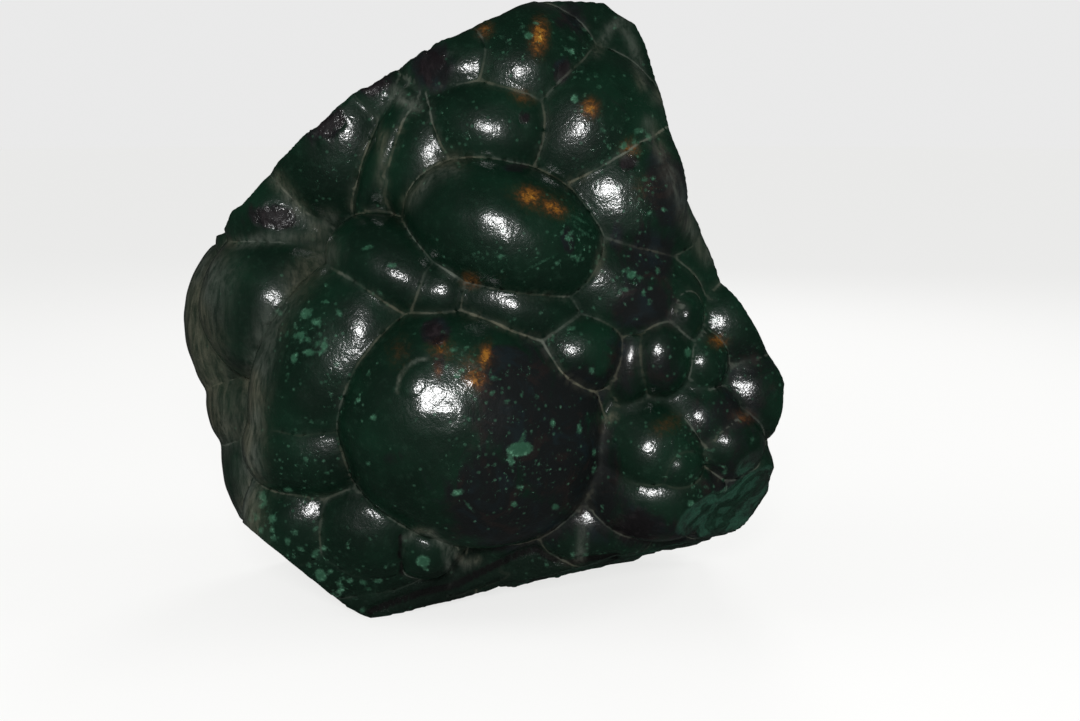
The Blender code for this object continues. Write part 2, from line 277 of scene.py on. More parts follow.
# Pale green flecks: x, z, half width, half height, turn (degrees)
FLECKS = (
    (13, 63, 4.8, 2.7, 8), (14, 67, 0.8, 2.6, -25), (10, 59, 1.2, 2.2, 20), (3.9, 82.4, 1.2, 0.8, 40),
    (8.8, 79.5, 1.2, 0.8, 30), (24, 72, 0.9, 1.7, 0), (33, 70, 1.0, 1.9, 0), (38, 62, 0.8, 1.6, 0),
    (38, 56, 0.7, 1.5, -10), (13, 50, 1.6, 0.8, 0), (11, 44, 1.3, 1.2, 0), (25, 43, 1.4, 1.2, 0),
    (-8, 48, 2.2, 1.3, 15), (-4, 43, 0.5, 2.6, 40), (-8.9, 97, 1.5, 0.8, 20), (-8, 88, 1.3, 1.0, -10),
    (-11.2, 91, 0.7, 1.2, 0), (-6.1, 90, 1.1, 0.9, 0), (-4.1, 73.3, 1.2, 0.8, 10),
    (5, 87.4, 2.6, 0.6, -18), (16, 199, 1.8, 1.2, 0), (31, 179, 1.3, 1.5, 0), (30, 194, 1.0, 1.1, 0),
    (20, 181, 0.9, 0.8, 0), (52, 169, 2.2, 0.8, 0), (55, 167, 1.0, 1.4, 30), (47, 164, 1.7, 1.2, 20),
    (54, 153, 1.2, 0.7, 0), (-60, 102, 2.6, 1.0, 20), (-57, 96, 2.2, 1.3, 0), (-54, 106, 1.7, 1.2, 0),
    (-51, 113, 1.2, 0.8, 0), (-58, 109, 2.2, 1.5, 60), (-52, 98, 1.3, 2.0, 0), (-48, 92, 1.2, 1.0, 0),
    (-62, 94, 1.2, 1.8, 0), (-37, 131, 1.9, 0.8, 20), (-29, 125, 1.8, 1.0, 0), (-33, 116, 0.5, 1.4, 40),
    (33, 140, 0.4, 3.0, 60), (34, 136, 0.4, 2.8, 55), (29, 134, 1.3, 1.0, 0), (31, 128, 1.3, 0.7, 0),
    (7, 128, 1.6, 0.9, 0), (20, 126, 4.2, 0.4, 28), (50, 122, 1.9, 1.5, 20), (48, 117, 1.2, 0.8, 0),
    (54, 116, 0.8, 1.4, 0), (30, 104, 1.5, 0.8, 0), (24, 101, 0.7, 1.1, 0), (29, 95, 0.7, 0.8, 0),
    (37, 90, 1.0, 1.3, 0), (78, 107, 1.3, 1.5, 0), (69, 96, 1.2, 1.8, 0), (82, 49, 2.4, 0.7, 40),
    (71, 44, 1.6, 1.3, -30), (-55, 19, 2.0, 2.6, 20), (-48, 14, 1.3, 1.0, 0), (-45, 17, 1.2, 1.0, 0),
    (-57, 26, 1.0, 1.7, 30), (-45, 31, 0.4, 1.7, -30), (-38, 32, 0.4, 1.9, 35), (-71, 39, 1.5, 1.7, 0),
    (-74, 47, 1.5, 1.8, 0), (-66, 31, 1.2, 1.5, 0), (-20, 24, 2.6, 2.2, 0), (-38, 58, 1.0, 0.8, 0),
    (-52, 55, 0.9, 0.8, 0), (-41, 80, 1.0, 0.8, 0), (-36, 74, 1.3, 1.2, 0), (-2, 80, 0.8, 0.6, 0),
    (41, 43, 0.8, 1.2, 20), (-16, 160, 0.7, 0.6, 0),
)
NO_FLECK = -3.0
FLECK_REACH = 4.0

# Crowds of smaller flecks: x, z, spread across, spread up, how many, largest half size
FLECK_CROWDS = (
    (-56, 102, 7, 9, 40, 1.0), (-48, 85, 7, 12, 24, 0.7), (30, 133, 6, 8, 20, 0.8),
    (52, 148, 8, 16, 44, 0.8), (50, 120, 7, 7, 26, 0.9), (-62, 55, 9, 12, 24, 0.8),
    (-60, 24, 12, 8, 34, 1.1), (-72, 42, 4, 10, 16, 1.1), (-44, 14, 10, 5, 20, 1.0),
    (12, 60, 26, 22, 18, 0.6), (26, 100, 9, 6, 18, 0.6), (32, 190, 5, 8, 18, 0.7),
    (12, 195, 8, 8, 10, 0.7), (76, 50, 10, 8, 22, 0.9), (70, 66, 10, 8, 14, 0.6),
    (82, 92, 9, 14, 20, 0.7), (40, 165, 10, 10, 16, 0.6), (8, 128, 14, 5, 14, 0.7),
    (-48, 155, 9, 8, 14, 0.6), (-20, 178, 14, 8, 14, 0.6), (-6, 168, 10, 6, 12, 0.6),
    (-8, 92, 8, 8, 22, 0.7), (12, 90, 7, 3, 6, 0.6), (40, 24, 20, 6, 20, 0.9),
)
CROWD_SEED = 11
CROWD_SIZES = (0.35, 1.0)
CROWD_SIZE_BIAS = 1.5
CROWD_STRETCH = (1.0, 1.9)
CROWD_WIDTH = 1.6

# Streaks of settled dust: points x, z of each line, then half width and strength
DUST_BELTS = (
    (((-51, 129), (-60, 121), (-67, 111), (-72, 100), (-75, 88)), 4.6, 0.6),
    (((-75, 88), (-77, 72), (-78, 55), (-79, 41), (-78, 28)), 4.2, 0.9),
    (((-90, 124), (-94, 111), (-94, 100), (-91, 85), (-88, 70)), 8.5, 0.7),
    (((-84, 72), (-92, 64), (-96, 50)), 4.0, 0.45),
    (((-23, 146), (-15, 156), (-8, 159)), 2.4, 0.55),
    (((-14, 157), (-9, 158)), 4.0, 0.5),
    (((-66, 153), (-61, 146), (-55, 138)), 2.4, 0.75),
    (((-82, 132), (-69, 134), (-53, 135)), 2.0, 0.6),
    (((-53, 136), (-49, 141)), 2.6, 0.6),
    (((-25.5, 32), (-21.6, 34.8), (-17, 34), (-14, 30.5), (-9.5, 27.5), (-5.3, 22.5), (-1.8, 24.6)),
     1.3, 0.85),
    (((-11, 21), (-12, 27)), 1.2, 0.6),
    (((35, 37), (34, 31), (33, 25)), 1.8, 0.6),
    (((55, 171), (63, 153), (68, 139), (75, 127)), 2.4, 0.45),
    (((38, 194), (42, 201), (46, 204), (50, 195), (53, 183)), 1.8, 0.5),
    (((-27, 181), (-24, 178.5), (-20.5, 176.6)), 2.2, 0.9),
    (((-31, 168), (-31.5, 160), (-32, 152)), 1.8, 0.45),
    (((41, 134), (38.5, 122.5)), 1.5, 0.4),
    (((42, 73), (44.5, 74.6)), 1.2, 1.0),
    (((-27.9, 82.8), (-27.2, 87.3), (-24.7, 91), (-21.4, 93.3), (-17.6, 94.1)), 0.5, 0.8),
    (((58, 180), (66, 178)), 2.6, 0.5),
)

# Seams that are marked more or less than most: two domes, counted from 0 (-1 is the solid stone behind
# them), and how strongly
SEAM_MARKS = (
    (0, 5, 0.9), (0, 17, 1.25), (0, 4, 0.5), (0, 2, 0.45), (0, 23, 0.7), (0, 28, 0.55), (0, 29, 0.4),
    (0, 30, 0.3), (1, 4, 0.8), (1, 5, 0.8), (1, 6, 0.55), (1, 7, 0.5), (1, 8, 0.7), (1, 16, 0.35),
    (2, 3, 0.55), (2, 6, 0.6), (2, 30, 0.12), (15, 16, 0.3), (14, 15, 0.9), (9, 10, 0.8), (8, 9, 0.75),
    (23, 28, 0.2), (23, 27, 0.1), (27, 28, 0.15), (31, 40, 0.05), (31, 41, 0.05), (40, 41, 0.3),
    (31, 32, 0.15), (10, 34, 0.9), (3, 34, 0.7), (16, 22, 0.25), (0, 42, 0.1), (31, 42, 0.15),
    (32, 42, 0.15), (33, 42, 0.1), (29, 42, 0.1), (42, 43, 0.1), (29, 43, 0.1), (41, 33, 0.1),
    (-1, 42, 0.1), (-1, 43, 0.1),
)
SEAM_MARK_RANGE = (0.35, 0.7)
SEAM_SEED = 6

# Crevices above the slab, sunk a little and painted near black as shade: points x, z of each line, then
# half width and strength
CREVICES = (
    (((-38.5, 6.2), (-33, 8.5), (-20.5, 12.9), (-9, 15.6), (0.6, 20.6), (12, 26.4)), 1.1, 1.0),
    (((12, 26.4), (18.5, 28.4), (22.7, 25.5), (29, 23.3), (37, 24.9), (46, 26)), 1.1, 0.9),
    (((-27.6, 33), (-28, 26), (-27.3, 19)), 0.8, 0.7),
)
CREVICE_DEPTH = 1.8

# Kinds of patch, and how abruptly each ends at its edge
PATCH_KINDS = {
    "black_patch": (BLACK_PATCHES, 2.6),
    "ochre_stain": (OCHRE_STAINS, 1.6),
    "pit": ([(*pit[:5], 1.0) for pit in PITS], 2.5),
    "dull": (DULL_SHADED_PATCHES, 4.0),
}
BELT_KINDS = {"dust_belt": DUST_BELTS, "crevice_shade": CREVICES}

# Grains of the finish: size of a lump in metres, detail, roughness, and where they are needed
# distortion, shift in metres and squeeze of its height
GRAINS = {
    "cloud": (0.022, 3.0, 0.55, 0.4),
    "mottle": (0.0026, 3.0, 0.65),
    "black edge": (0.007, 5.0, 0.68, 0.8, 0.0, 0.45),
    "black tinge": (0.012, 3.0, 0.6, 0.8, 3.0),
    "ochre spots": (0.0018, 4.0, 0.75, 0.5),
    "ochre glints": (0.0012, 3.0, 0.7, 0.0, 14.0),
    "fleck edge": (0.0012, 4.0, 0.7),
    "scatter": (0.03, 1.0, 0.5),
    "crumbs": (0.0017, 5.0, 0.72, 0.4, 12.0),
    "fleck light": (0.0065, 1.0, 0.5, 0.0, 5.0),
    "fleck bits": (0.0014, 3.0, 0.7, 0.0, 6.0),
    "band bend": (0.028, 4.0, 0.62),
    "break grime": (0.024, 5.0, 0.68, 0.5, 9.0),
    "pit edge": (0.0060, 4.0, 0.66, 0.8, 15.0),
    "pit streaks": (0.0030, 4.0, 0.7, 0.4, 4.0, 0.35),
    "wander": (0.007, 3.0, 0.6),
    "dust gaps": (0.009, 3.0, 0.65, 0.0, 7.0),
    "dust streaks": (0.0022, 4.0, 0.7, 0.3, 8.0, 0.22),
    "dust tone": (0.03, 2.0, 0.5, 0.0, 2.0),
    "polish": (0.0045, 4.0, 0.7, 0.0, 2.0),
    "fine relief": (0.0009, 2.0, 0.7),
    "wavy relief": (0.0032, 2.0, 0.6, 0.8, 1.0),
    "pit relief": (0.0040, 3.0, 0.55),
    "break relief": (0.0025, 5.0, 0.7),
}

# Soft edges: the value at which each mark begins, and the value at which it is full
EDGES = {
    "cloud": (0.35, 0.75),
    "mottle": (0.5, 0.8),
    "black": (0.14, 0.56),
    "cold black": (0.52, 0.68),
    "warm black": (0.46, 0.36),
    "ochre": (0.04, 0.75),
    "ochre spots": (0.36, 0.68),
    "bright ochre": (0.30, 0.95),
    "ochre glints": (0.47, 0.60),
    "drawn flecks": (-0.20, 0.75),
    "chosen dots": (1.14, 1.18),
    "dot": (0.34, 0.08),
    "crumbs": (0.74, 0.82),
    "fleck light": (0.40, 0.70),
    "fleck bits": (0.46, 0.72),
    "fleck middle": (0.6, 1.5),
    "bands": (-0.7, 0.9),
    "break grime": (0.40, 0.60),
    "pit": (0.20, 0.85),
    "pit bounds": (0.02, 0.30),
    "pit streaks": (0.48, 0.80),
    "crevice_shade": (0.15, 0.60),
    "dust line": (0.0, 0.75),
    "dust gaps": (0.34, 0.66),
    "haze": (3.6, 0.2),
    "beside seam": (2.2, 0.4),
    "dust streaks": (0.32, 0.68),
    "dust tone": (0.42, 0.60),
}

# How much a grain changes its mark: times the first number, plus the second
SWINGS = {
    "black edge": (1.3, -0.65),
    "ochre spots": (0.75, 0.50),
    "fleck edge": (1.7, -0.80),
    "fleck light": (0.75, 0.25),
    "fleck bits": (0.9, 0.1),
    "fleck middle": (-0.8, 1.0),
    "pit edge": (2.4, -1.2),
    "line width": (1.3, -0.05),
    "dust gaps": (0.85, 0.15),
    "dust streaks": (0.75, 0.20),
}

# How fully each mark covers what lies under it
COVERS = {
    "mottle": 0.03, "black": 0.96, "ochre": 0.85, "crumbs": 0.75, "dots": 0.5, "flecks": 0.85,
    "break grime": 0.8, "pit": 0.95, "dull": 0.35, "crevice_shade": 0.95, "haze": 0.36, "dust": 0.85,
}

# Colours of the smaller marks, and tints of the main ones
COLD_BLACK = (0.0048, 0.0085, 0.0100)
WARM_BLACK = (0.0082, 0.0064, 0.0062)
BRIGHT_OCHRE = (0.50, 0.32, 0.055)
BREAK_GRIME = (0.010, 0.0115, 0.0105)
PIT_FLOOR = (0.0052, 0.0040, 0.0048)
PIT_STREAK = (0.016, 0.012, 0.0135)
# Darker colour of the dull patches: painted shade, mostly under the big lower dome
PAINTED_DULL_SHADE = (0.0024, 0.0042, 0.0032)
# Near-black painted shade in the crevices above the slab
PAINTED_CREVICE_SHADE = (0.0022, 0.0024, 0.0022)
RUST_TINT = (0.36, 0.30, 0.60)
FAINT_TINT = (0.14, 0.22, 0.19)
WARM_TINT = (1.15, 0.98, 0.82)

# Scatter of fine flecks, growth bands and dust lines
DOTS_PER_METRE = 420.0
DOTS_IN_CROWDS = 0.35
DOTS_ELSEWHERE = 0.4
CRUMBS_IN_CROWDS = 0.16
BAND_BEND = 26.0
BAND_RATE = 0.9
FINE_BAND_RATE = 3.1
BAND_SHARE = 0.6
FINE_BAND_SHARE = 0.4
THINNEST_LINE = 0.2

# Gloss and relief; heights are in metres
STONE_IOR = 1.6
STONE_SPECULAR = 0.10
GLOSS_ROUGHNESS = 0.16
POLISH_SWING = 0.12
BREAK_ROUGHNESS = 0.62
DUST_ROUGHNESS = 0.75
PIT_ROUGHNESS = 0.55
DULL_ROUGHNESS = 0.75
ROUGH_COVER = 0.8
PIT_MATTNESS = 0.92
WAVY_SHARE = 1.6
FLECK_HEIGHT = -0.00002
PIT_RELIEF = 0.0003
BREAK_RELIEF = 0.0011

# Studio: places and widths of the lights in metres, floor and camera
LIGHT_AIM = (0.0, -0.03, 0.10)
KEY_PLACE = (0.012, -0.585, 0.262)
SIDE_LIGHTS = {"left_fill": (-0.75, -0.15, 0.55), "right_fill": (0.75, -0.05, 0.50)}
SIDE_WIDTH = 0.5
BACK_PLACE = (0.15, 0.75, 0.60)
BACK_WIDTH = 0.35
FLOOR_SIDES = 96
FLOOR_GLOW_COLOUR = (1.0, 1.0, 0.99)
FLOOR_ROUGHNESS = 0.9
FLOOR_SPECULAR = 0.1
CAMERA_TILT = 9.69  # degrees below level
SENSOR_WIDTH = 36.0
NEAREST = 0.01


def unit(vector):
    return np.asarray(vector, dtype=float) / np.linalg.norm(vector)


def fine_ball():
    """Unit directions and triangles of a ball that is divided more finely on the side of the face."""
    bm = bmesh.new()
    bmesh.ops.create_icosphere(bm, subdivisions=BALL_DIVISIONS, radius=1.0)
    front = {edge for face in bm.faces if face.calc_center_median().y < FINE_FRONT for edge in face.edges}
    ordered = [edge for edge in bm.edges if edge in front]
    bmesh.ops.subdivide_edges(bm, edges=ordered, cuts=1, use_grid_fill=True)
    bmesh.ops.triangulate(bm, faces=bm.faces[:])
    bm.verts.ensure_lookup_table()
    directions = np.array([v.co[:] for v in bm.verts], dtype=float)
    triangles = np.array([[v.index for v in f.verts] for f in bm.faces])
    bm.free()
    return directions / np.linalg.norm(directions, axis=1)[:, None], triangles


def dome_reach(directions, dome):
    """Distance from the heart to the far side of one dome, or -1 where the line misses it."""
    centre = np.array(dome[0:3], dtype=float)
    turning = Euler((0.0, -math.radians(dome[6]), math.radians(dome[7])), "XYZ")
    to_ball = np.diag(1.0 / np.array(dome[3:6], dtype=float)) @ np.array(turning.to_matrix()).T
    start = to_ball @ (HEART - centre)
    step = directions @ to_ball.T
    a = (step * step).sum(axis=1)
    b = step @ start
    inside_root = b * b - a * (start @ start - 1.0)
    root = np.sqrt(np.maximum(inside_root, 0.0))
    return np.where(inside_root > 0.0, (root - b) / a, -1.0)


def bowl_reach(directions):
    """Distance to the curved front of the solid stone behind the domes."""
    off = HEART - np.array(BOWL_TIP)
    a = BOWL_WIDTH_BEND * directions[:, 0] ** 2 + BOWL_HEIGHT_BEND * directions[:, 2] ** 2
    b = directions[:, 1] - 2.0 * BOWL_WIDTH_BEND * off[0] * directions[:, 0]
    b = b - 2.0 * BOWL_HEIGHT_BEND * off[2] * directions[:, 2]
    c = off[1] - BOWL_WIDTH_BEND * off[0] ** 2 - BOWL_HEIGHT_BEND * off[2] ** 2
    a = np.maximum(a, BOWL_FLATTEST)
    return (b + np.sqrt(b * b + 4.0 * a * c)) / (2.0 * a)


def rim_reach(directions):
    """Distance to the broken side wall that follows the rim."""
    corners = np.array(RIM, dtype=float) - np.array(RIM_CENTRE)
    angles = np.arctan2(corners[:, 1], corners[:, 0])
    sizes = np.hypot(corners[:, 0], corners[:, 1])
    order = np.argsort(angles)
    facing = np.arctan2(directions[:, 2], directions[:, 0])
    size = np.interp(facing, angles[order], sizes[order], period=2.0 * math.pi)
    across = np.hypot(directions[:, 0], directions[:, 2])
    wide = size * (1.0 - RIM_TAPER * (HEART[1] - RIM_DEPTH))
    slope = across + size * RIM_TAPER * directions[:, 1]
    return np.where(slope > TINY, wide / np.maximum(slope, TINY), FAR_AWAY)


def plane_reach(directions, outward, distance):
    outward = unit(outward)
    towards = directions @ outward
    room = distance - HEART @ outward
    return np.where(towards > TINY, room / np.maximum(towards, TINY), FAR_AWAY)


def chip_reach(directions, chip):
    """Distance at which a line runs into the hollow left by a chip."""
    off = HEART - np.array(chip[0:3], dtype=float)
    b = directions @ off
    inside_root = b * b - (off @ off - chip[3] ** 2)
    near = -b - np.sqrt(np.maximum(inside_root, 0.0))
    return np.where((inside_root > 0.0) & (near > 0.0), near, FAR_AWAY)


def scoops():
    """Centres and radii of the shallow scoops that roughen the rim and the breaks."""
    rng = np.random.default_rng(SCOOP_SEED)
    found = []
    for outward, distance in BREAKS:
        outward = unit(outward)
        for _ in range(SCOOPS_PER_BREAK):
            towards = outward + rng.normal(size=3) * SCOOP_SPREAD
            towards = towards / np.linalg.norm(towards)
            radius = rng.uniform(*SCOOP_RADIUS)
            depth = rng.uniform(*SCOOP_DEPTH)
            spot = HEART + towards * plane_reach(towards[None, :], outward, distance)[0]
            found.append((*(spot + outward * (radius - depth)), radius))
    for _ in range(SCOOPS_ON_RIM):
        around = rng.uniform(*SCOOP_ARC) * math.pi
        towards = np.array((math.cos(around), rng.uniform(*SCOOP_TILT), math.sin(around)))
        towards = towards / np.linalg.norm(towards)
        radius = rng.uniform(*SCOOP_RADIUS)
        depth = rng.uniform(*SCOOP_DEPTH)
        spot = HEART + towards * rim_reach(towards[None, :])[0]
        outward = np.array((math.cos(around), SCOOP_LEAN, math.sin(around)))
        found.append((*(spot + outward * (radius - depth)), radius))
    return found


def ripple(points, length, seed):
    """Smooth uneven values between about -1 and 1, with waves about length across."""
    rng = np.random.default_rng(seed)
    total = np.zeros(len(points))
    for _ in range(RIPPLE_WAVES):
        wave = rng.normal(size=3)
        wave = wave / np.linalg.norm(wave) * rng.uniform(*RIPPLE_RANGE) / length
        total += np.sin(points @ wave * 2.0 * math.pi + rng.uniform(0.0, 2.0 * math.pi))
    return total / RIPPLE_LEVEL


def ripples(points, waves, extra_seed=0):
    return sum(height * ripple(points, length, seed + extra_seed) for length, height, seed in waves)


def grown_layers(directions, swell):
    """Reach of the bowl and of every dome, one row each, with a slight unevenness of their own."""
    layers = [bowl_reach(directions)]
    for number, dome in enumerate(DOMES):
        reach = dome_reach(directions, dome)
        hit = reach > 0.0
        spots = HEART + directions[hit] * reach[hit][:, None]
        reach[hit] += swell * ripples(spots, DOME_RIPPLES, number)
        layers.append(reach)
    return np.array(layers)


def two_highest(layers):
    """Rows of the highest and the second highest layer, for every direction."""
    order = np.argpartition(-layers, 1, axis=0)[:2]
    values = np.take_along_axis(layers, order, axis=0)
    swap = values[0] < values[1]
    first = np.where(swap, order[1], order[0])
    second = np.where(swap, order[0], order[1])
    return first, second


def seam_slope(directions, swell, first, second):
    """How fast the gap between the two highest layers opens, as a vector along the surface of the ball."""
    side = np.cross(directions, SEAM_SIDE)
    side /= np.linalg.norm(side, axis=1)[:, None]
    up = np.cross(directions, side)
    columns = np.arange(len(directions))

    def gap(towards):
        towards = towards / np.linalg.norm(towards, axis=1)[:, None]
        layers = grown_layers(towards, swell)
        return layers[first, columns] - layers[second, columns]

    here = gap(directions)
    slope_side = (gap(directions + side * SEAM_STEP) - here) / SEAM_STEP
    slope_up = (gap(directions + up * SEAM_STEP) - here) / SEAM_STEP
    return here, side * slope_side[:, None] + up * slope_up[:, None]


def snap_to_seams(directions, spacing, swell):
    """Moves the points that lie nearest a seam onto it, so that every seam runs clean."""
    layers = grown_layers(directions, swell)
    first, second = two_highest(layers)
    gentlest, steepest = SEAM_STEEPNESS
    for share in SEAM_SHARES:
        here, slope = seam_slope(directions, swell, first, second)
        steepness = np.linalg.norm(slope, axis=1)
        away = here / np.maximum(steepness, TINY)
        near = (np.abs(away) < share * spacing) & (steepness > gentlest) & (steepness < steepest)
        move = slope * (away / np.maximum(steepness, TINY))[:, None]
        directions = np.where(near[:, None], directions - move, directions)
        directions /= np.linalg.norm(directions, axis=1)[:, None]
    return directions


def edge_pairs(triangles):
    ends = np.concatenate((triangles[:, (0, 1)], triangles[:, (1, 2)], triangles[:, (2, 0)]))
    return np.unique(np.sort(ends, axis=1), axis=0)


def fill_grooves(directions, edges, reach, owner):
    """Raises narrow grooves until no wall is too steep, and says which dome each wall belongs to."""
    gap = np.linalg.norm(directions[edges[:, 0]] - directions[edges[:, 1]], axis=1)
    keep = 1.0 - GROOVE_STEEPNESS * gap
    before = reach.copy()
    for _ in range(GROOVE_PASSES):
        np.maximum.at(reach, edges[:, 1], reach[edges[:, 0]] * keep)
        np.maximum.at(reach, edges[:, 0], reach[edges[:, 1]] * keep)
    raised = reach > before + FILLED
    above = np.concatenate((edges[:, 0], edges[:, 1]))
    below = np.concatenate((edges[:, 1], edges[:, 0]))
    held = raised[below] & (np.abs(reach[above] * np.concatenate((keep, keep)) - reach[below]) < TINY)
    owner = owner.copy()
    for _ in range(GROOVE_PASSES):
        owner[below[held]] = owner[above[held]]
    links = np.bincount(above, minlength=len(reach))
    smooth = raised.copy()
    smooth[above[raised[below]]] = True
    for _ in range(SMOOTHING_PASSES):
        mean = np.bincount(above, weights=reach[below], minlength=len(reach)) / links
        reach = np.where(smooth, 0.5 * reach + 0.5 * mean, reach)
    return reach, owner, raised


def broken_reach(directions, grown):
    """Distance to the broken surfaces, and how deep below the grown surface they lie."""
    rim = rim_reach(directions)
    rough = HEART + directions * np.minimum(rim, FARTHEST)[:, None]
    broken = rim + RIM_ROUGHNESS * ripples(rough, RIM_RIPPLES)
    for outward, distance in BREAKS:
        broken = np.minimum(broken, plane_reach(directions, outward, distance))
    for chip in list(CHIPS) + scoops():
        broken = np.minimum(broken, chip_reach(directions, chip))
    depth = np.clip(grown - broken, 0.0, None)
    layer = np.mod(depth / LEDGE_SPACING + LEDGE_SHIFT, 1.0)
    step = np.minimum(layer / LEDGE_TREAD, (1.0 - layer) / (1.0 - LEDGE_TREAD))
    begun = np.clip(depth / LEDGE_START - 1.0, 0.0, 1.0)
    fading = np.clip((LEDGE_REACH - depth) / LEDGE_FADE, 0.0, 1.0)
    return broken - LEDGE_HEIGHT * begun * fading * step, depth


def fracture(points, size, shift):
    """Facets and sharp little ridges like those of broken stone, between about 0 and 1."""
    noise.seed_set(FACET_SEED)
    move = Vector([shift * part for part in FACET_SHIFT])
    values = np.empty(len(points))
    for row, point in enumerate(points):
        spot = Vector(point) / size + move
        bent = spot + noise.noise_vector(spot * FACET_BEND_RATE) * FACET_BEND
        distances, _ = noise.voronoi(bent)
        values[row] = distances[1] - distances[0]
    return values


def sheet_places(points):
    """Where each point falls on the upright sheet that carries the markings."""
    along = (SHEET_DEPTH - SIGHT_POINT[1]) / (points[:, 1] - SIGHT_POINT[1])
    across = SIGHT_POINT[0] + (points[:, 0] - SIGHT_POINT[0]) * along
    up = SIGHT_POINT[2] + (points[:, 2] - SIGHT_POINT[2]) * along
    return np.stack((across, up), axis=1)


def oval_distance(places, x, z, wide, tall, turn):
    """Distance from the middle of an oval, 1 on its edge."""
    angle = math.radians(turn)
    off = places - np.array((x, z), dtype=float)
    along = off[:, 0] * math.cos(angle) + off[:, 1] * math.sin(angle)
    cross = off[:, 1] * math.cos(angle) - off[:, 0] * math.sin(angle)
    return np.hypot(along / wide, cross / tall)


def stain_strength(places, stains, sharpness):
    """Full strength in the middle of a stain, falling off past its edge."""
    total = np.zeros(len(places))
    for x, z, wide, tall, turn, strength in stains:
        apart = oval_distance(places, x, z, wide, tall, turn)
        total = np.maximum(total, strength * np.exp(-apart ** sharpness))
    return total


def belt_strength(places, belts):
    """Full strength along the line of a belt, falling off to its sides."""
    total = np.zeros(len(places))
    for corners, half_width, strength in belts:
        nearest = np.full(len(places), FAR_AWAY)
        for start, end in zip(corners[:-1], corners[1:]):
            start = np.array(start, dtype=float)
            run = np.array(end, dtype=float) - start
            share = np.clip((places - start) @ run / (run @ run), 0.0, 1.0)
            nearest = np.minimum(nearest, np.linalg.norm(places - start - share[:, None] * run, axis=1))
        total = np.maximum(total, strength * np.exp(-(nearest / half_width) ** 2))
    return total


def crowd_strength(places):
    """1 in the middle of a crowd of flecks, falling off to 0 outside it."""
    total = np.zeros(len(places))
    for x, z, spread_x, spread_z, _, _ in FLECK_CROWDS:
        apart = oval_distance(places, x, z, CROWD_WIDTH * spread_x, CROWD_WIDTH * spread_z, 0.0)
        total = np.maximum(total, np.exp(-apart ** 2))
    return total


def all_flecks():
    """The single flecks and the seeded crowds, as rows of x, z, half sizes and turn."""
    rng = np.random.default_rng(CROWD_SEED)
    rows = list(FLECKS)
    for x, z, spread_x, spread_z, count, largest in FLECK_CROWDS:
        for _ in range(count):
            size = largest * rng.uniform(*CROWD_SIZES) ** CROWD_SIZE_BIAS
            long = size * rng.uniform(*CROWD_STRETCH)
            across = x + rng.normal() * spread_x
            up = z + rng.normal() * spread_z
            rows.append((across, up, long, size, rng.uniform(0, 180)))
    return rows


def fleck_depth(places):
    """How far inside a fleck each place lies, in millimetres, below zero outside."""
    depth = np.full(len(places), NO_FLECK)
    for x, z, wide, tall, turn in all_flecks():
        near = np.abs(places[:, 0] - x) < wide + FLECK_REACH
        near &= np.abs(places[:, 1] - z) < wide + tall + FLECK_REACH
        apart = oval_distance(places[near], x, z, wide, tall, turn)
        depth[near] = np.maximum(depth[near], (1.0 - apart) * min(wide, tall))
    return depth


def seam_marks():
    """How strongly the seam between any two grown layers is marked; layer 0 is the solid stone behind."""
    rng = np.random.default_rng(SEAM_SEED)
    marks = rng.uniform(*SEAM_MARK_RANGE, size=(len(DOMES) + 1, len(DOMES) + 1))
    for one, other, mark in SEAM_MARKS:
        marks[one + 1, other + 1] = mark
        marks[other + 1, one + 1] = mark
    return marks


def seam_distance(points, edges, owner, raised, reaches):
    """Distance of every point from the nearest seam between two grown layers, and how marked it is."""
    changing = owner[edges[:, 0]] != owner[edges[:, 1]]
    one, other = edges[changing, 0], edges[changing, 1]
    filled = raised[one] | raised[other]
    rise_one = np.abs(reaches[owner[one], one] - reaches[owner[other], one])
    rise_other = np.abs(reaches[owner[other], other] - reaches[owner[one], other])
    share = np.where(filled, 0.5, rise_one / np.maximum(rise_one + rise_other, 1e-9))
    spots = points[one] + (points[other] - points[one]) * share[:, None]
    length = np.maximum(np.linalg.norm(points[one] - points[other], axis=1), 1e-6)
    rise = (rise_one + rise_other) / length
    marked = np.where(filled, 1.0, np.clip(rise / SEAM_FULL_RISE, 0.0, 1.0))
    lower = np.minimum(owner[one], owner[other])
    upper = np.maximum(owner[one], owner[other])
    marked = marked * seam_marks()[lower, upper]
    tree = kdtree.KDTree(len(spots))
    for number, spot in enumerate(spots):
        tree.insert(spot, number)
    tree.balance()
    distance = np.full(len(points), SEAM_REACH)
    strength = np.zeros(len(points))
    for row, point in enumerate(points):
        _, number, apart = tree.find(point)
        if apart < SEAM_REACH:
            distance[row] = apart
            strength[row] = marked[number]
    return distance, strength


def point_normals(points, triangles):
    corners = points[triangles]
    across = np.cross(corners[:, 1] - corners[:, 0], corners[:, 2] - corners[:, 0])
    normals = np.zeros(points.shape)
    for corner in range(3):
        np.add.at(normals, triangles[:, corner], across)
    return normals / np.maximum(np.linalg.norm(normals, axis=1), 1e-12)[:, None]


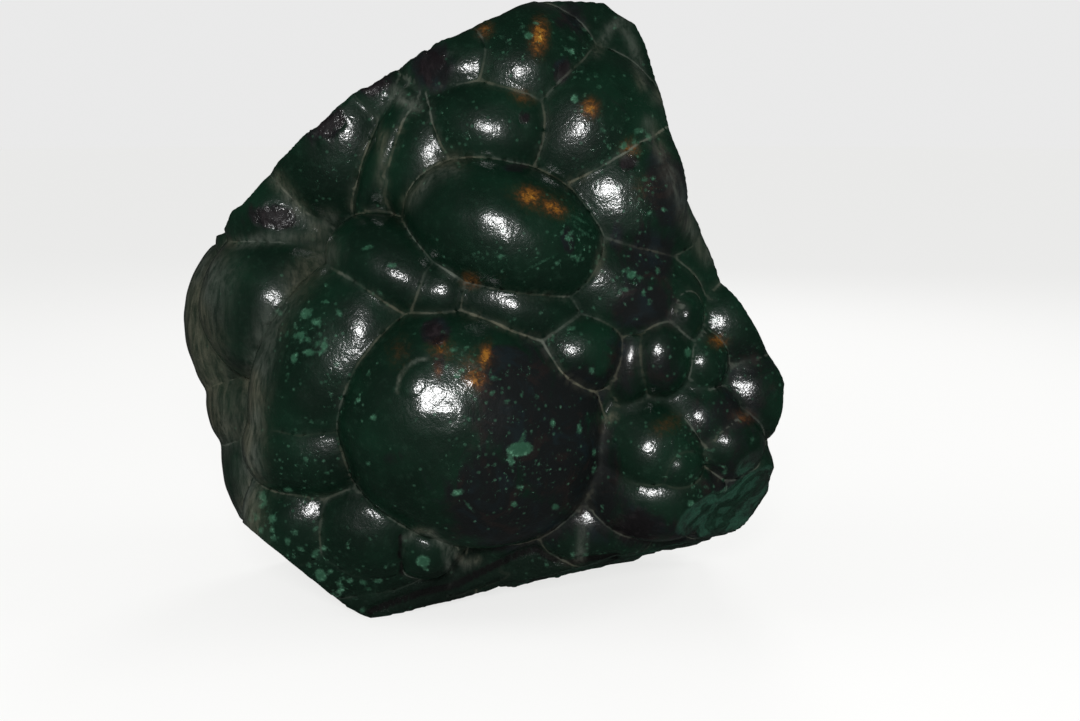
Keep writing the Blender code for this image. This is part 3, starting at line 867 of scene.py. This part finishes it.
def face_relief(directions, reach, ahead):
    """Raises the blisters of the polished face and sinks its pits and crevices."""
    places = sheet_places(HEART + directions * reach[:, None])
    for x, z, wide, tall, turn, height in BLISTERS:
        apart = oval_distance(places, x, z, wide, tall, turn)
        reach = reach + np.where(ahead, height * np.clip(1.0 - apart ** 2, 0.0, 1.0), 0.0)
    for x, z, wide, tall, turn, pit_depth in PITS:
        apart = oval_distance(places, x, z, wide, tall, turn)
        close = np.flatnonzero(ahead & (apart < PIT_REACH))
        spots = HEART + directions[close] * reach[close][:, None]
        apart = apart[close] + ripples(spots, PIT_RIPPLES)
        edge = np.clip((PIT_EDGE - apart) / PIT_SLOPE, 0.0, 1.0)
        grit = 1.0 - PIT_GRIT + PIT_GRIT * fracture(spots, *PIT_FACETS)
        reach[close] -= pit_depth * edge * edge * (3.0 - 2.0 * edge) * grit
    return reach - CREVICE_DEPTH * belt_strength(places, CREVICES) * ahead


def break_facets(directions, grown, broken, depth):
    """Height of the facets on the broken faces, before the look scales it."""
    spots = HEART + directions * np.minimum(broken, FARTHEST)[:, None]
    rough = (broken < grown + FACET_MARGIN) & (broken < FACET_REACH)
    facets = np.zeros(len(directions))
    for size, height, shift in BREAK_FACETS:
        facets[rough] += height * fracture(spots[rough], size, shift)
    return facets * np.clip(depth / FACET_DEPTH, FACET_LEAST, 1.0)


def markings(points, triangles, ahead):
    """How strongly each marking shows at every point; none shows where the face turns away."""
    towards = SIGHT_POINT - points
    towards /= np.linalg.norm(towards, axis=1)[:, None]
    facing = (point_normals(points, triangles) * towards).sum(axis=1)
    seen = np.clip((facing - SIGHT_EDGE) / SIGHT_FADE, 0.0, 1.0) * ahead
    places = sheet_places(points)
    marks = {
        "fleck_depth": np.where(seen > 0.0, fleck_depth(places), NO_FLECK),
        "speckle": crowd_strength(places) * seen,
    }
    for name, (patches, sharpness) in PATCH_KINDS.items():
        marks[name] = stain_strength(places, patches, sharpness) * seen
    for name, belts in BELT_KINDS.items():
        marks[name] = belt_strength(places, belts) * seen
    return marks


def stone_shape(look):
    """Points and triangles of the stone in millimetres, and what lies where on its surface."""
    swell = look.dome_swell / MM
    directions, triangles = fine_ball()
    edges = edge_pairs(triangles)
    spans = np.linalg.norm(directions[edges[:, 0]] - directions[edges[:, 1]], axis=1)
    spacing = np.zeros(len(directions))
    for end in (0, 1):
        np.maximum.at(spacing, edges[:, end], spans)
    directions = snap_to_seams(directions, spacing, swell)

    layers = grown_layers(directions, swell)
    first, second = two_highest(layers)
    columns = np.arange(len(directions))
    highest = layers[first, columns]
    gap = highest - layers[second, columns]
    fillet = look.seam_fillet / MM
    grown = highest + np.clip(fillet - gap, 0.0, None) ** 2 / (4.0 * fillet)

    broken, depth = broken_reach(directions, grown)
    broken = broken - look.break_roughness / MM * break_facets(directions, grown, broken, depth)
    ahead = directions[:, 1] < FACE_FRONT
    reach = face_relief(directions, np.minimum(grown, broken), ahead)
    reach = np.minimum(reach, plane_reach(directions, (0.0, 0.0, -1.0), 0.0))
    reach, owner, raised = fill_grooves(directions, edges, reach, first)
    points = HEART + directions * reach[:, None]
    points[points[:, 2] < FOOT_SNAP, 2] = 0.0

    seam, seam_strength = seam_distance(points, edges, owner, raised, layers)
    on_break = np.clip(depth, 0.0, 1.0)
    surface = {
        "seam_distance": seam,
        "seam_strength": seam_strength * (1.0 - on_break),
        "break_depth": depth,
        "on_break": on_break,
    }
    surface.update(markings(points, triangles, ahead))
    return points, triangles, surface


class Nodes:
    """Lays out and links the nodes of a material or of the world."""

    def __init__(self, owner):
        owner.use_nodes = True
        self.tree = owner.node_tree

    def add(self, kind, **settings):
        node = self.tree.nodes.new(kind)
        for key, value in settings.items():
            setattr(node, key, value)
        return node

    def feed(self, socket, value):
        """Links a node's output to the socket, or sets a plain number or colour on it."""
        if hasattr(value, "is_output"):
            self.tree.links.new(value, socket)
        elif isinstance(value, tuple) and socket.type == "RGBA":
            socket.default_value = (*value, 1.0)
        else:
            socket.default_value = value

    def blend_value(self, amount, below, above):
        node = self.add("ShaderNodeMix", data_type="FLOAT")
        for number, value in ((0, amount), (2, below), (3, above)):
            self.feed(node.inputs[number], value)
        return node.outputs[0]


class Finish(Nodes):
    """One material, built round its shader."""

    def __init__(self, name):
        self.material = bpy.data.materials.new(name)
        super().__init__(self.material)
        self.shader = self.tree.nodes["Principled BSDF"]

    def shade(self, sockets):
        for name, value in sockets.items():
            self.feed(self.shader.inputs[name], value)

    def surface(self, name):
        return self.add("ShaderNodeAttribute", attribute_name=name).outputs["Fac"]

    def place(self, shift=0.0, squeeze=1.0):
        """The stone's own coordinates, with their height squeezed, and moved by shift metres."""
        place = self.add("ShaderNodeTexCoord").outputs["Object"]
        if squeeze != 1.0:
            place = self.moved(place, "MULTIPLY", (1.0, 1.0, squeeze))
        if shift:
            place = self.moved(place, "ADD", (shift, shift, shift))
        return place

    def moved(self, place, operation, change):
        node = self.add("ShaderNodeVectorMath", operation=operation)
        self.feed(node.inputs[0], place)
        self.feed(node.inputs[1], change)
        return node.outputs[0]

    def math(self, operation, first, second=0.0, third=0.0, clamp=False):
        node = self.add("ShaderNodeMath", operation=operation, use_clamp=clamp)
        for socket, value in zip(node.inputs, (first, second, third)):
            self.feed(socket, value)
        return node.outputs[0]

    def times(self, first, second):
        return self.math("MULTIPLY", first, second)

    def most(self, first, second):
        return self.math("MAXIMUM", first, second)

    def swing(self, name, value):
        return self.math("MULTIPLY_ADD", value, *SWINGS[name])

    def grain(self, name):
        """Cloudy noise with the settings that GRAINS gives under this name."""
        size, detail, roughness, *rest = GRAINS[name]
        distortion, *moves = rest or (0.0,)
        node = self.add("ShaderNodeTexNoise")
        self.feed(node.inputs["Vector"], self.place(*moves))
        self.feed(node.inputs["Scale"], 1.0 / size)
        self.feed(node.inputs["Detail"], detail)
        self.feed(node.inputs["Roughness"], roughness)
        self.feed(node.inputs["Distortion"], distortion)
        return node.outputs["Fac"]

    def edge(self, name, value):
        """0 where the mark of this name hasn't begun, 1 where it is full."""
        low, high = EDGES[name]
        node = self.add("ShaderNodeMapRange", interpolation_type="SMOOTHSTEP")
        self.feed(node.inputs["Value"], value)
        self.feed(node.inputs["From Min"], low)
        self.feed(node.inputs["From Max"], high)
        return node.outputs["Result"]

    def patches(self, name):
        """A grain seen through the soft edge of the same name."""
        return self.edge(name, self.grain(name))

    def blend(self, amount, below, above):
        node = self.add("ShaderNodeMix", data_type="RGBA")
        for number, value in ((0, amount), (6, below), (7, above)):
            self.feed(node.inputs[number], value)
        return node.outputs[2]

    def cover(self, name, amount, below, above):
        return self.blend(self.times(amount, COVERS[name]), below, above)


def tinted(colour, tint):
    return tuple(part * share for part, share in zip(colour, tint))


def green_ground(f, look):
    """Green of the polished domes, cloudy and slightly uneven."""
    colour = f.blend(f.patches("cloud"), tuple(look.deep_green), tuple(look.fresh_green))
    return f.cover("mottle", f.patches("mottle"), colour, tuple(look.fleck_green))


def black_mineral(f, look, colour):
    """Black and brown-black mineral, its edge broken up and drawn out into streaks."""
    ragged = f.swing("black edge", f.grain("black edge"))
    amount = f.edge("black", f.math("ADD", f.surface("black_patch"), ragged))
    tinge = f.grain("black tinge")
    blackish = f.blend(f.edge("cold black", tinge), tuple(look.black_mineral), COLD_BLACK)
    blackish = f.blend(f.edge("warm black", tinge), blackish, WARM_BLACK)
    return f.cover("black", amount, colour, blackish)


def ochre_stains(f, look, colour):
    """Ochre and rust stains, brightest where they are thickest."""
    thick = f.surface("ochre_stain")
    ochre = tuple(look.ochre)
    stain = f.times(thick, f.swing("ochre spots", f.patches("ochre spots")))
    stained = f.blend(f.edge("bright ochre", stain), tinted(ochre, RUST_TINT), ochre)
    glints = f.edge("ochre glints", f.times(thick, f.grain("ochre glints")))
    stained = f.blend(glints, stained, BRIGHT_OCHRE)
    return f.cover("ochre", f.edge("ochre", stain), colour, stained)


def fine_scatter(f):
    """Fine crumbs and dots of pale mineral, densest in the crowds."""
    dots = f.add("ShaderNodeTexVoronoi", feature="F1")
    f.feed(dots.inputs["Vector"], f.place())
    f.feed(dots.inputs["Scale"], DOTS_PER_METRE)
    pick = f.add("ShaderNodeSeparateColor")
    f.feed(pick.inputs[0], dots.outputs["Color"])
    elsewhere = f.times(f.grain("scatter"), DOTS_ELSEWHERE)
    crowd = f.math("MULTIPLY_ADD", f.surface("speckle"), DOTS_IN_CROWDS, elsewhere)
    chosen = f.edge("chosen dots", f.math("ADD", pick.outputs[0], crowd))
    small = f.times(chosen, f.edge("dot", dots.outputs["Distance"]))
    crumbs = f.math("MULTIPLY_ADD", f.surface("speckle"), CRUMBS_IN_CROWDS, f.grain("crumbs"))
    return f.times(f.edge("crumbs", crumbs), COVERS["crumbs"]), f.times(small, COVERS["dots"])


def pale_flecks(f, look, colour):
    """Pale green flecks, darker in the middle and broken into bits; gives the colour and where they lie."""
    ragged = f.swing("fleck edge", f.grain("fleck edge"))
    drawn = f.edge("drawn flecks", f.math("ADD", f.surface("fleck_depth"), ragged))
    crumbs, dots = fine_scatter(f)
    flecks = f.math("MAXIMUM", f.most(drawn, crumbs), dots, clamp=True)
    lit = f.swing("fleck light", f.patches("fleck light"))
    lit = f.times(lit, f.swing("fleck bits", f.patches("fleck bits")))
    middle = f.edge("fleck middle", f.surface("fleck_depth"))
    lit = f.times(lit, f.swing("fleck middle", middle))
    pale = tuple(look.fleck_green)
    return f.cover("flecks", flecks, colour, f.blend(lit, tinted(pale, FAINT_TINT), pale)), flecks


def growth_bands(f, look):
    """Broken faces: dull growth layers of dark green, uneven and grimy."""
    bent = f.math("MULTIPLY_ADD", f.grain("band bend"), BAND_BEND, f.surface("break_depth"))
    wide = f.math("SINE", f.times(bent, BAND_RATE))
    fine = f.math("SINE", f.times(bent, FINE_BAND_RATE))
    bands = f.math("ADD", f.times(wide, BAND_SHARE), f.times(fine, FINE_BAND_SHARE))
    colour = f.blend(f.edge("bands", bands), tuple(look.band_dark), tuple(look.band_light))
    return f.cover("break grime", f.patches("break grime"), colour, BREAK_GRIME)


def dark_pits(f, colour):
    """Dark rough pits; gives the colour and where they lie."""
    ragged = f.swing("pit edge", f.grain("pit edge"))
    pit = f.edge("pit", f.math("ADD", f.surface("pit"), ragged))
    pit = f.times(pit, f.edge("pit bounds", f.surface("pit")))
    return f.cover("pit", pit, colour, f.blend(f.patches("pit streaks"), PIT_FLOOR, PIT_STREAK)), pit


def settled_dust(f, look, colour, seam):
    """Dust: a thin line in each seam, a haze beside it, belts on the flanks."""
    wander = f.grain("wander")
    line_width = f.times(f.swing("line width", wander), look.seam_dust / MM)
    inside = f.math("DIVIDE", seam, f.most(line_width, THINNEST_LINE))
    line = f.math("SUBTRACT", 1.0, inside, clamp=True)
    marked = f.times(f.surface("seam_strength"), f.swing("dust gaps", f.patches("dust gaps")))
    line = f.times(f.edge("dust line", line), marked)
    haze = f.times(f.edge("haze", seam), f.times(marked, f.times(wander, COVERS["haze"])))
    belt = f.times(f.surface("dust_belt"), f.swing("dust streaks", f.patches("dust streaks")))
    dusty = f.math("MAXIMUM", f.math("ADD", line, haze), belt, clamp=True)
    dust = tuple(look.dust_colour)
    tone = f.blend(f.patches("dust tone"), dust, tinted(dust, WARM_TINT))
    return f.cover("dust", dusty, colour, tone), dusty


def fine_relief(f, look, flecks, pit, unpolished):
    """Fine grain of the polish, coarser grain of the pits and the breaks, as a bumped normal."""
    fine = f.times(f.grain("fine relief"), look.grain_depth)
    wavy = f.times(f.grain("wavy relief"), look.grain_depth * WAVY_SHARE)
    height = f.math("ADD", f.math("ADD", fine, wavy), f.times(flecks, FLECK_HEIGHT))
    height = f.math("ADD", height, f.times(pit, f.times(f.grain("pit relief"), PIT_RELIEF)))
    height = f.blend_value(unpolished, height, f.times(f.grain("break relief"), BREAK_RELIEF))
    bump = f.add("ShaderNodeBump")
    f.feed(bump.inputs["Strength"], 1.0)
    f.feed(bump.inputs["Distance"], 1.0)
    f.feed(bump.inputs["Height"], height)
    return bump.outputs["Normal"]


def malachite_finish(look):
    """Polished malachite: deep green, black patches, pale flecks, ochre stains, dust in the seams."""
    f = Finish("polished_malachite")
    on_break = f.surface("on_break")
    dull = f.surface("dull")
    seam = f.surface("seam_distance")
    crevice_shade = f.edge("crevice_shade", f.surface("crevice_shade"))

    colour = ochre_stains(f, look, black_mineral(f, look, green_ground(f, look)))
    colour, flecks = pale_flecks(f, look, colour)
    colour, pit = dark_pits(f, f.blend(on_break, colour, growth_bands(f, look)))
    # Painted shade: the dull patches, mostly under the big lower dome, are darkened as well as made matt
    colour = f.cover("dull", dull, colour, PAINTED_DULL_SHADE)
    # Painted shade: the crevices above the slab are coloured near black
    colour = f.cover("crevice_shade", crevice_shade, colour, PAINTED_CREVICE_SHADE)
    colour, dusty = settled_dust(f, look, colour, seam)

    # Roughness of the stone itself
    beside_seam = f.edge("beside seam", seam)
    dim = f.most(dusty, beside_seam)
    rough = f.math("MULTIPLY_ADD", f.grain("polish"), 2.0 * POLISH_SWING, look.polish - POLISH_SWING)
    rough = f.blend_value(on_break, rough, BREAK_ROUGHNESS)
    rough = f.blend_value(f.times(dim, ROUGH_COVER), rough, DUST_ROUGHNESS)
    rough = f.blend_value(f.times(pit, ROUGH_COVER), rough, PIT_ROUGHNESS)
    rough = f.blend_value(dull, rough, DULL_ROUGHNESS)

    # The wax-like top gloss of the polish lies only on clean domes
    matt = f.most(dim, f.most(f.times(pit, PIT_MATTNESS), on_break))
    clean = f.math("SUBTRACT", 1.0, f.most(matt, f.most(dull, crevice_shade)), clamp=True)
    normal = fine_relief(f, look, flecks, pit, f.most(on_break, dull))
    f.shade({
        "Base Color": colour,
        "Roughness": rough,
        "IOR": STONE_IOR,
        "Specular IOR Level": STONE_SPECULAR,
        "Coat Weight": f.times(clean, look.top_gloss),
        "Coat Roughness": GLOSS_ROUGHNESS,
        "Normal": normal,
        "Coat Normal": normal,
    })
    return f.material


def add_object(name, data):
    thing = bpy.data.objects.new(name, data)
    bpy.context.scene.collection.objects.link(thing)
    return thing


def grow_stone(look):
    points, triangles, surface = stone_shape(look)
    points = (points + np.array((SIDEWAYS, BACKWARD, 0.0))) * MM
    mesh = bpy.data.meshes.new("polished_malachite")
    mesh.from_pydata(points.tolist(), [], triangles.tolist())
    mesh.update()
    for name, values in surface.items():
        layer = mesh.attributes.new(name, "FLOAT", "POINT")
        layer.data.foreach_set("value", np.ascontiguousarray(values, dtype=np.float32))
    mesh.shade_smooth()
    mesh.materials.append(malachite_finish(look))
    stone = add_object("polished_malachite", mesh)
    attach(stone, "root")
    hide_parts("malachite_stone")


def soft_light(name, spot, size, power, shiny=False):
    lamp = bpy.data.lights.new(name, "AREA")
    lamp.shape = "DISK"
    lamp.size = size
    lamp.energy = power
    light = add_object(name, lamp)
    light.location = spot
    light.rotation_euler = (Vector(LIGHT_AIM) - Vector(spot)).to_track_quat("-Z", "Y").to_euler()
    light.visible_camera = False
    light.visible_glossy = shiny


def floor_finish(studio):
    """Pale matt floor; part of its brightness is its own, so that it stays even far from the lights."""
    f = Finish("pale_floor")
    f.shade({
        "Base Color": tuple(studio.floor_colour),
        "Roughness": FLOOR_ROUGHNESS,
        "Specular IOR Level": FLOOR_SPECULAR,
        "Emission Color": FLOOR_GLOW_COLOUR,
        "Emission Strength": studio.floor_glow,
    })
    return f.material


def set_world(studio):
    """Plain bright background for the camera, dim light for everything else."""
    world = bpy.data.worlds.new("studio_air")
    bpy.context.scene.world = world
    air = Nodes(world)
    path = air.add("ShaderNodeLightPath").outputs
    level = air.blend_value(path["Is Camera Ray"], studio.air_light, studio.backdrop_light)
    level = air.blend_value(path["Is Glossy Ray"], level, studio.air_gloss)
    back = air.tree.nodes["Background"]
    air.feed(back.inputs["Color"], (1.0, 1.0, 1.0))
    air.feed(back.inputs["Strength"], level)


def set_stage(studio):
    mesh = bpy.data.meshes.new("studio_floor")
    bm = bmesh.new()
    bmesh.ops.create_circle(bm, cap_ends=True, segments=FLOOR_SIDES, radius=studio.floor_radius)
    bm.to_mesh(mesh)
    bm.free()
    mesh.materials.append(floor_finish(studio))
    floor = add_object("studio_floor", mesh)
    floor.visible_glossy = False
    set_world(studio)

    soft_light("key_light", KEY_PLACE, studio.key_size, studio.key_power, shiny=True)
    for name, spot in SIDE_LIGHTS.items():
        soft_light(name, spot, SIDE_WIDTH, studio.fill_power)
    soft_light("back_light", BACK_PLACE, BACK_WIDTH, studio.back_power)

    lens = bpy.data.cameras.new("camera")
    lens.lens = studio.lens
    lens.sensor_width = SENSOR_WIDTH
    lens.clip_start = NEAREST
    camera = add_object("camera", lens)
    camera.location = (SIGHT_POINT + np.array((SIDEWAYS, BACKWARD, 0.0))) * MM
    camera.rotation_euler = (math.radians(90.0 - CAMERA_TILT), 0.0, 0.0)
    scene = bpy.context.scene
    scene.camera = camera
    scene.view_settings.view_transform = "Standard"


class StoneLook(PropertyGroup):
    dome_swell: FloatProperty(
        name="Dome swell", description="Unevenness of the polished domes", default=0.00028, unit="LENGTH")
    seam_fillet: FloatProperty(
        name="Seam fillet", description="Softness of the grooves between domes",
        default=0.0016, unit="LENGTH")
    seam_dust: FloatProperty(
        name="Seam dust", description="Width of the dust in the grooves", default=0.0011, unit="LENGTH")
    break_roughness: FloatProperty(
        name="Break roughness", description="Height of the facets on broken faces",
        default=0.0009, unit="LENGTH")
    grain_depth: FloatProperty(
        name="Grain depth", description="Depth of the fine grain in the polish",
        default=0.00008, unit="LENGTH", precision=6)
    polish: FloatProperty(
        name="Polish", description="Roughness of the polished domes", default=0.44, subtype="FACTOR")
    top_gloss: FloatProperty(
        name="Top gloss", description="Strength of the clear gloss over the polish",
        default=0.74, subtype="FACTOR")
    deep_green: FloatVectorProperty(
        name="Deep green", description="Darker green of the ground",
        default=(0.0013, 0.0082, 0.0042), size=3, subtype="COLOR")
    fresh_green: FloatVectorProperty(
        name="Fresh green", description="Lighter green of the ground",
        default=(0.0021, 0.0152, 0.0074), size=3, subtype="COLOR")
    fleck_green: FloatVectorProperty(
        name="Fleck green", description="Pale green of the flecks",
        default=(0.105, 0.27, 0.170), size=3, subtype="COLOR")
    black_mineral: FloatVectorProperty(
        name="Black mineral", description="Colour of the black patches",
        default=(0.0045, 0.0055, 0.0058), size=3, subtype="COLOR")
    ochre: FloatVectorProperty(
        name="Ochre", description="Colour of the iron stains",
        default=(0.23, 0.094, 0.010), size=3, subtype="COLOR")
    dust_colour: FloatVectorProperty(
        name="Dust", description="Colour of the settled dust",
        default=(0.080, 0.092, 0.076), size=3, subtype="COLOR")
    band_dark: FloatVectorProperty(
        name="Dark band", description="Dark growth bands on the breaks",
        default=(0.004, 0.022, 0.012), size=3, subtype="COLOR")
    band_light: FloatVectorProperty(
        name="Light band", description="Light growth bands on the breaks",
        default=(0.012, 0.052, 0.032), size=3, subtype="COLOR")


class StudioLook(PropertyGroup):
    floor_radius: FloatProperty(
        name="Floor radius", description="Radius of the round floor", default=6.0, unit="LENGTH")
    floor_colour: FloatVectorProperty(
        name="Floor", description="Colour of the floor",
        default=(0.20, 0.20, 0.198), size=3, subtype="COLOR")
    floor_glow: FloatProperty(
        name="Floor glow", description="Brightness the floor has of its own", default=0.76)
    key_power: FloatProperty(
        name="Key light", description="Power of the light beside the camera", default=2.4, unit="POWER")
    key_size: FloatProperty(
        name="Key size", description="Diameter of the key light", default=0.11, unit="LENGTH")
    fill_power: FloatProperty(
        name="Fill lights", description="Power of each side light", default=3.0, unit="POWER")
    back_power: FloatProperty(
        name="Back light", description="Power of the light behind the stone", default=3.0, unit="POWER")
    air_light: FloatProperty(
        name="Room light", description="Even light from all round", default=0.30)
    air_gloss: FloatProperty(
        name="Room gloss", description="Brightness of the room in reflections", default=0.03)
    backdrop_light: FloatProperty(
        name="Backdrop", description="Brightness of the background", default=0.82)
    lens: FloatProperty(
        name="Lens", description="Focal length of the camera", default=50.0, unit="CAMERA")


class MALACHITE_OT_grow_stone(Operator):
    """Grow the polished stone over its solid"""

    bl_idname = "malachite.grow_stone"
    bl_label = "Grow the stone"

    def execute(self, context):
        grow_stone(context.scene.stone_look)
        return {"FINISHED"}


class MALACHITE_OT_set_stage(Operator):
    """Set the floor, the lights and the camera"""

    bl_idname = "malachite.set_stage"
    bl_label = "Set the stage"

    def execute(self, context):
        set_stage(context.scene.studio_look)
        return {"FINISHED"}


class MALACHITE_PT_specimen(Panel):
    bl_label = "Malachite specimen"
    bl_space_type = "VIEW_3D"
    bl_region_type = "UI"
    bl_category = "Malachite"

    def draw(self, context):
        for group in (context.scene.stone_look, context.scene.studio_look):
            box = self.layout.box()
            for name in group.bl_rna.properties.keys():
                if name not in {"rna_type", "name"}:
                    box.prop(group, name)
        self.layout.operator("malachite.grow_stone")
        self.layout.operator("malachite.set_stage")


CLASSES = (
    StoneLook,
    StudioLook,
    MALACHITE_OT_grow_stone,
    MALACHITE_OT_set_stage,
    MALACHITE_PT_specimen,
)


def register():
    for entry in CLASSES:
        bpy.utils.register_class(entry)
    bpy.types.Scene.stone_look = PointerProperty(type=StoneLook)
    bpy.types.Scene.studio_look = PointerProperty(type=StudioLook)


def unregister():
    del bpy.types.Scene.studio_look
    del bpy.types.Scene.stone_look
    for entry in reversed(CLASSES):
        bpy.utils.unregister_class(entry)


def main():
    register()
    bpy.ops.malachite.grow_stone()
    bpy.ops.malachite.set_stage()


if __name__ == "__main__":
    main()
